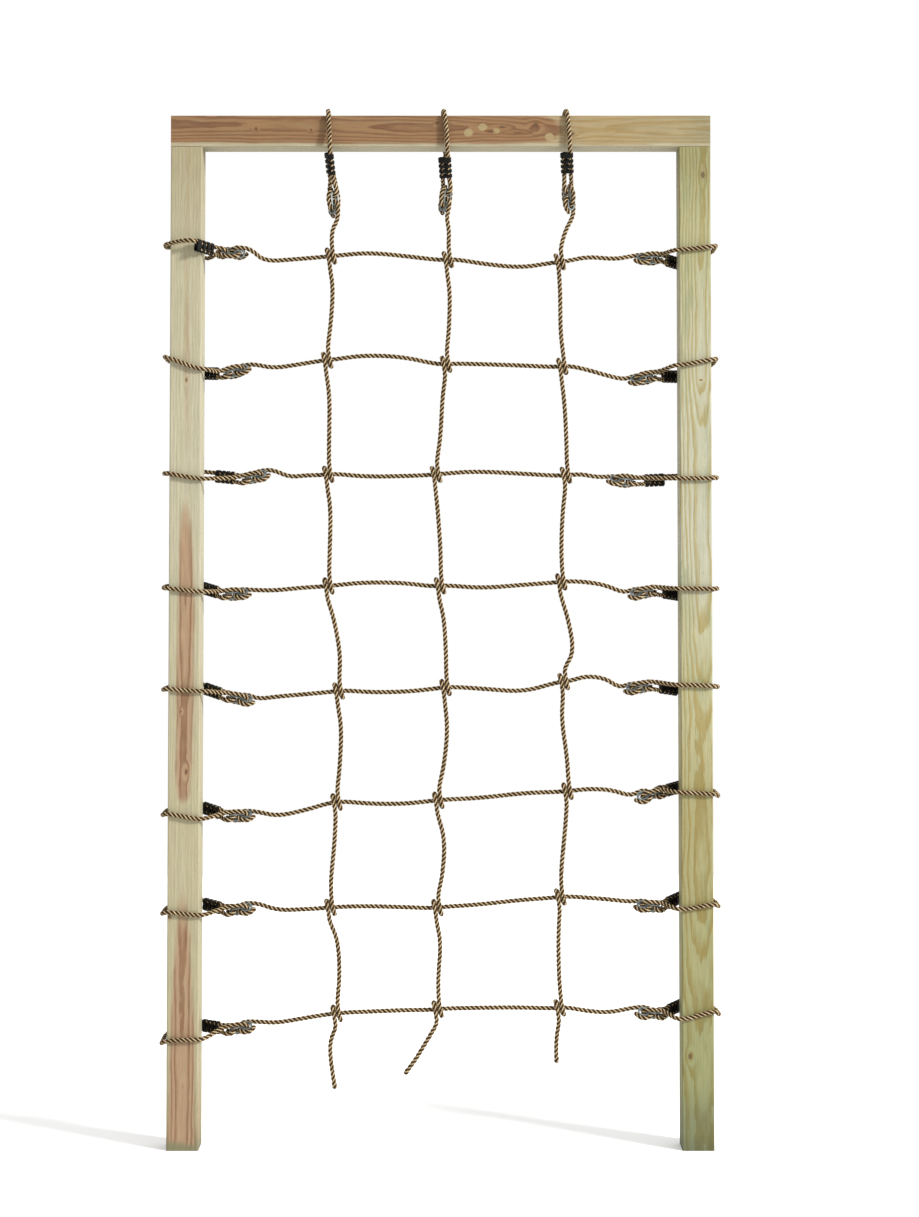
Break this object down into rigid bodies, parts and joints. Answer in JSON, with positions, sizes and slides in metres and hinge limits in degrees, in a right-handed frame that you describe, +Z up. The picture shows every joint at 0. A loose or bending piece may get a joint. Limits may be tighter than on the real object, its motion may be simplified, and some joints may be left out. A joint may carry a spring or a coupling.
{
  "type": "climbing net",
  "caption": "Climbing net of knotted rope slung in a square timber goal frame by short ropes with sliders.",
  "frame": {"origin": "on the ground, midway between the two posts and midway through their depth", "axes": "+Z up along the posts, X along the beam, Y through the net with the front towards -Y"},
  "size_m": [1.237, 0.1381, 2.2985],
  "materials": {
    "left_timber": "planed pine, treated, pale with a pink heart stripe",
    "right_timber": "planed pine, treated, pale green",
    "beam_timber": "planed pine, reddish heartwood",
    "screw_steel": "zinc plated",
    "rope": "three-strand laid rope, light brown",
    "galvanised_steel": "galvanised",
    "slider_plastic": "moulded black plastic"
  },
  "bodies": {
    "root": {"left_post": "left_timber", "right_post": "right_timber", "top_beam": "beam_timber", "beam_screws": "screw_steel", "left_upright_rope": "rope", "middle_upright_rope": "rope", "right_upright_rope": "rope", "cross_rope_1": "rope", "cross_rope_2": "rope", "cross_rope_3": "rope", "cross_rope_4": "rope", "cross_rope_5": "rope", "cross_rope_6": "rope", "cross_rope_7": "rope", "cross_rope_8": "rope", "left_thimbles": "galvanised_steel", "right_thimbles": "galvanised_steel", "top_thimbles": "galvanised_steel", "left_sling_1": "rope", "left_sling_2": "rope", "left_sling_3": "rope", "left_sling_4": "rope", "left_sling_5": "rope", "left_sling_6": "rope", "left_sling_7": "rope", "left_sling_8": "rope", "right_sling_1": "rope", "right_sling_2": "rope", "right_sling_3": "rope", "right_sling_4": "rope", "right_sling_5": "rope", "right_sling_6": "rope", "right_sling_7": "rope", "right_sling_8": "rope", "top_sling_left": "rope", "top_sling_middle": "rope", "top_sling_right": "rope"},
    "left_slider_1": {"left_slider_1": "slider_plastic"},
    "left_slider_2": {"left_slider_2": "slider_plastic"},
    "left_slider_3": {"left_slider_3": "slider_plastic"},
    "left_slider_4": {"left_slider_4": "slider_plastic"},
    "left_slider_5": {"left_slider_5": "slider_plastic"},
    "left_slider_6": {"left_slider_6": "slider_plastic"},
    "left_slider_7": {"left_slider_7": "slider_plastic"},
    "left_slider_8": {"left_slider_8": "slider_plastic"},
    "right_slider_1": {"right_slider_1": "slider_plastic"},
    "right_slider_2": {"right_slider_2": "slider_plastic"},
    "right_slider_3": {"right_slider_3": "slider_plastic"},
    "right_slider_4": {"right_slider_4": "slider_plastic"},
    "right_slider_5": {"right_slider_5": "slider_plastic"},
    "right_slider_6": {"right_slider_6": "slider_plastic"},
    "right_slider_7": {"right_slider_7": "slider_plastic"},
    "right_slider_8": {"right_slider_8": "slider_plastic"},
    "top_slider_left": {"top_slider_left": "slider_plastic"},
    "top_slider_middle": {"top_slider_middle": "slider_plastic"},
    "top_slider_right": {"top_slider_right": "slider_plastic"},
    "left_rope_tail": {"left_rope_tail": "rope"},
    "middle_rope_tail": {"middle_rope_tail": "rope"},
    "right_rope_tail": {"right_rope_tail": "rope"}
  },
  "joints": [
    {"name": "left_slider_1_slide", "type": "slide", "parent": "root", "child": "left_slider_1", "axis": [0.703, 0.6949, -0.1512], "range_m": [-0.005, 0]},
    {"name": "left_slider_2_slide", "type": "slide", "parent": "root", "child": "left_slider_2", "axis": [0.7337, -0.6764, -0.0644], "range_m": [-0.005, 0]},
    {"name": "left_slider_3_slide", "type": "slide", "parent": "root", "child": "left_slider_3", "axis": [0.8993, -0.426, -0.0986], "range_m": [-0.023, 0]},
    {"name": "left_slider_4_slide", "type": "slide", "parent": "root", "child": "left_slider_4", "axis": [0.7293, -0.6584, -0.1862], "range_m": [-0.005, 0]},
    {"name": "left_slider_5_slide", "type": "slide", "parent": "root", "child": "left_slider_5", "axis": [0.7849, -0.5814, -0.2143], "range_m": [-0.006, 0]},
    {"name": "left_slider_6_slide", "type": "slide", "parent": "root", "child": "left_slider_6", "axis": [0.7901, -0.5855, -0.1816], "range_m": [-0.006, 0.001]},
    {"name": "left_slider_7_slide", "type": "slide", "parent": "root", "child": "left_slider_7", "axis": [0.8085, -0.5785, -0.1077], "range_m": [-0.006, 0]},
    {"name": "left_slider_8_slide", "type": "slide", "parent": "root", "child": "left_slider_8", "axis": [0.818, -0.5753, -0.0032], "range_m": [-0.006, 0.001]},
    {"name": "right_slider_1_slide", "type": "slide", "parent": "root", "child": "right_slider_1", "axis": [-0.6777, -0.7293, 0.0945], "range_m": [-0.005, 0]},
    {"name": "right_slider_2_slide", "type": "slide", "parent": "root", "child": "right_slider_2", "axis": [-0.7694, -0.6381, -0.0294], "range_m": [-0.005, 0.002]},
    {"name": "right_slider_3_slide", "type": "slide", "parent": "root", "child": "right_slider_3", "axis": [-0.9171, -0.395, -0.0537], "range_m": [-0.029, 0.003]},
    {"name": "right_slider_4_slide", "type": "slide", "parent": "root", "child": "right_slider_4", "axis": [-0.7758, -0.6188, 0.1237], "range_m": [-0.005, 0.005]},
    {"name": "right_slider_5_slide", "type": "slide", "parent": "root", "child": "right_slider_5", "axis": [-0.8222, -0.5504, 0.1451], "range_m": [-0.006, 0.005]},
    {"name": "right_slider_6_slide", "type": "slide", "parent": "root", "child": "right_slider_6", "axis": [-0.6806, -0.7258, -0.0997], "range_m": [-0.005, 0]},
    {"name": "right_slider_7_slide", "type": "slide", "parent": "root", "child": "right_slider_7", "axis": [-0.6824, -0.7102, -0.173], "range_m": [-0.005, 0]},
    {"name": "right_slider_8_slide", "type": "slide", "parent": "root", "child": "right_slider_8", "axis": [-0.6681, -0.7329, -0.1285], "range_m": [-0.005, 0]},
    {"name": "top_slider_left_slide", "type": "slide", "parent": "root", "child": "top_slider_left", "axis": [0.0833, 0.4229, -0.9023], "range_m": [-0.01, 0.011]},
    {"name": "top_slider_middle_slide", "type": "slide", "parent": "root", "child": "top_slider_middle", "axis": [0.0618, 0.4477, -0.892], "range_m": [-0.023, 0]},
    {"name": "top_slider_right_slide", "type": "slide", "parent": "root", "child": "top_slider_right", "axis": [0.0594, 0.4565, -0.8878], "range_m": [-0.012, 0.007]},
    {"name": "left_tail_swing", "type": "hinge", "parent": "root", "child": "left_rope_tail", "pos_m": [-0.2306, -0.008, 0.2567], "axis": [1, 0, 0], "range_deg": [-35, 35]},
    {"name": "middle_tail_swing", "type": "hinge", "parent": "root", "child": "middle_rope_tail", "pos_m": [-0.0076, -0.008, 0.2657], "axis": [1, 0, 0], "range_deg": [-35, 35]},
    {"name": "right_tail_swing", "type": "hinge", "parent": "root", "child": "right_rope_tail", "pos_m": [0.2614, -0.008, 0.2687], "axis": [1, 0, 0], "range_deg": [-35, 35]}
  ]
}
